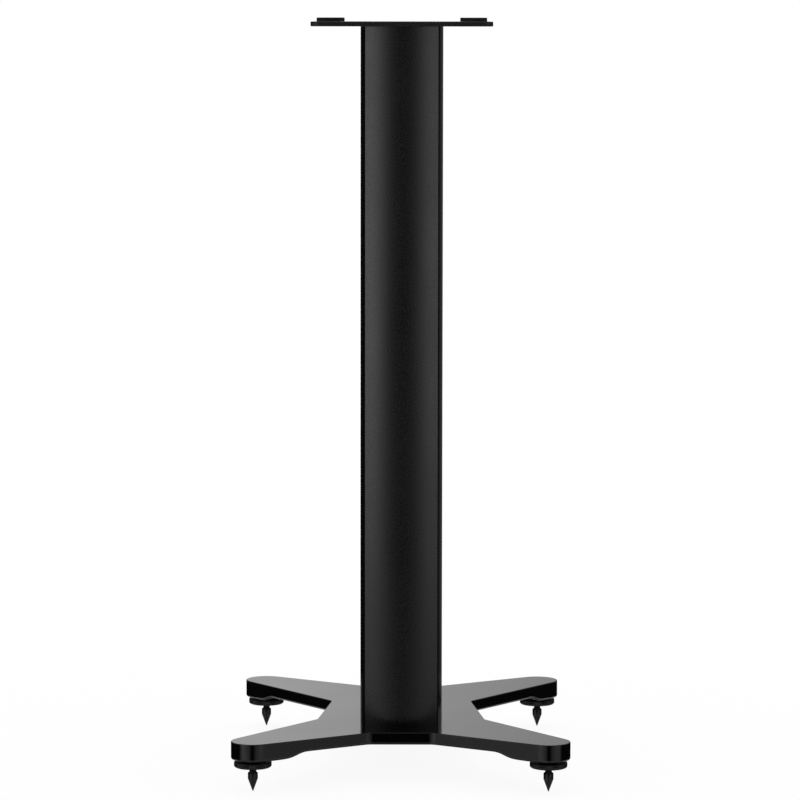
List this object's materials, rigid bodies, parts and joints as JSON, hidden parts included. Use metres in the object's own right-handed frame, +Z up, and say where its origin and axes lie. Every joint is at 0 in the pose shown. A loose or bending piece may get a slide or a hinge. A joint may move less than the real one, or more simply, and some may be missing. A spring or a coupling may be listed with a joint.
{
  "type": "speaker stand",
  "caption": "Black speaker stand: thin top plate with rubber pads, convex hollow column, X-shaped base with rounded arms, lock discs and levelling spikes.",
  "frame": {"origin": "on the floor, under the middle of the four spikes, which is also the middle of the footprint", "axes": "+X right seen from the front, +Y towards the back, +Z up along the column"},
  "size_m": [0.2702, 0.3178, 0.6132],
  "materials": {
    "base_black": "satin black powder coat on a metal casting",
    "core_black": "satin black anodised extrusion",
    "panel_black": "satin black anodised extrusion with fine lengthwise grain",
    "plate_black": "satin black powder coat on steel plate",
    "pad_rubber": "matt black rubber",
    "screw_black": "black oxide steel",
    "washer_zinc": "bright zinc plated steel",
    "insert_zinc": "zinc plated steel",
    "foot_washer_black": "black oxide steel",
    "disc_black": "semi-gloss black plated steel, finely knurled rim",
    "spike_black": "semi-gloss black plated steel, turned"
  },
  "bodies": {
    "root": {"base_casting": "base_black", "column_core": "core_black", "column_front_panel": "panel_black", "column_rear_panel": "panel_black", "top_plate": "plate_black", "top_plate_screws": "screw_black", "base_screws": "screw_black", "base_screw_washers": "washer_zinc", "pad_front_left": "pad_rubber", "foot_insert_front_left": "insert_zinc", "pad_front_right": "pad_rubber", "foot_insert_front_right": "insert_zinc", "pad_rear_left": "pad_rubber", "foot_insert_rear_left": "insert_zinc", "pad_rear_right": "pad_rubber", "foot_insert_rear_right": "insert_zinc"},
    "foot_washer_front_left": {"foot_washer_front_left": "foot_washer_black"},
    "lock_disc_front_left": {"lock_disc_front_left": "disc_black"},
    "spike_front_left": {"spike_front_left": "spike_black"},
    "foot_washer_front_right": {"foot_washer_front_right": "foot_washer_black"},
    "lock_disc_front_right": {"lock_disc_front_right": "disc_black"},
    "spike_front_right": {"spike_front_right": "spike_black"},
    "foot_washer_rear_left": {"foot_washer_rear_left": "foot_washer_black"},
    "lock_disc_rear_left": {"lock_disc_rear_left": "disc_black"},
    "spike_rear_left": {"spike_rear_left": "spike_black"},
    "foot_washer_rear_right": {"foot_washer_rear_right": "foot_washer_black"},
    "lock_disc_rear_right": {"lock_disc_rear_right": "disc_black"},
    "spike_rear_right": {"spike_rear_right": "spike_black"}
  },
  "joints": [
    {"name": "spike_height_front_left", "type": "slide", "parent": "root", "child": "spike_front_left", "axis": [0, 0, -1], "range_m": [-0.0015, 0.005]},
    {"name": "lock_drop_front_left", "type": "slide", "parent": "root", "child": "foot_washer_front_left", "axis": [0, 0, -1], "range_m": [0, 0.00201]},
    {"name": "lock_turn_front_left", "type": "hinge", "parent": "foot_washer_front_left", "child": "lock_disc_front_left", "pos_m": [-0.1177, -0.1415, 0.022], "axis": [0, 0, -1], "range_deg": [0, 720]},
    {"name": "spike_height_front_right", "type": "slide", "parent": "root", "child": "spike_front_right", "axis": [0, 0, -1], "range_m": [-0.0015, 0.005]},
    {"name": "lock_drop_front_right", "type": "slide", "parent": "root", "child": "foot_washer_front_right", "axis": [0, 0, -1], "range_m": [0, 0.00201]},
    {"name": "lock_turn_front_right", "type": "hinge", "parent": "foot_washer_front_right", "child": "lock_disc_front_right", "pos_m": [0.1177, -0.1415, 0.022], "axis": [0, 0, -1], "range_deg": [0, 720]},
    {"name": "spike_height_rear_left", "type": "slide", "parent": "root", "child": "spike_rear_left", "axis": [0, 0, -1], "range_m": [-0.0015, 0.005]},
    {"name": "lock_drop_rear_left", "type": "slide", "parent": "root", "child": "foot_washer_rear_left", "axis": [0, 0, -1], "range_m": [0, 0.00201]},
    {"name": "lock_turn_rear_left", "type": "hinge", "parent": "foot_washer_rear_left", "child": "lock_disc_rear_left", "pos_m": [-0.1177, 0.1415, 0.022], "axis": [0, 0, -1], "range_deg": [0, 720]},
    {"name": "spike_height_rear_right", "type": "slide", "parent": "root", "child": "spike_rear_right", "axis": [0, 0, -1], "range_m": [-0.0015, 0.005]},
    {"name": "lock_drop_rear_right", "type": "slide", "parent": "root", "child": "foot_washer_rear_right", "axis": [0, 0, -1], "range_m": [0, 0.00201]},
    {"name": "lock_turn_rear_right", "type": "hinge", "parent": "foot_washer_rear_right", "child": "lock_disc_rear_right", "pos_m": [0.1177, 0.1415, 0.022], "axis": [0, 0, -1], "range_deg": [0, 720]}
  ],
  "couplings": [
    {"joint": "lock_drop_front_left", "follows": "lock_turn_front_left", "m_per_rad": 0.00015915},
    {"joint": "lock_drop_front_right", "follows": "lock_turn_front_right", "m_per_rad": 0.00015915},
    {"joint": "lock_drop_rear_left", "follows": "lock_turn_rear_left", "m_per_rad": 0.00015915},
    {"joint": "lock_drop_rear_right", "follows": "lock_turn_rear_right", "m_per_rad": 0.00015915}
  ]
}
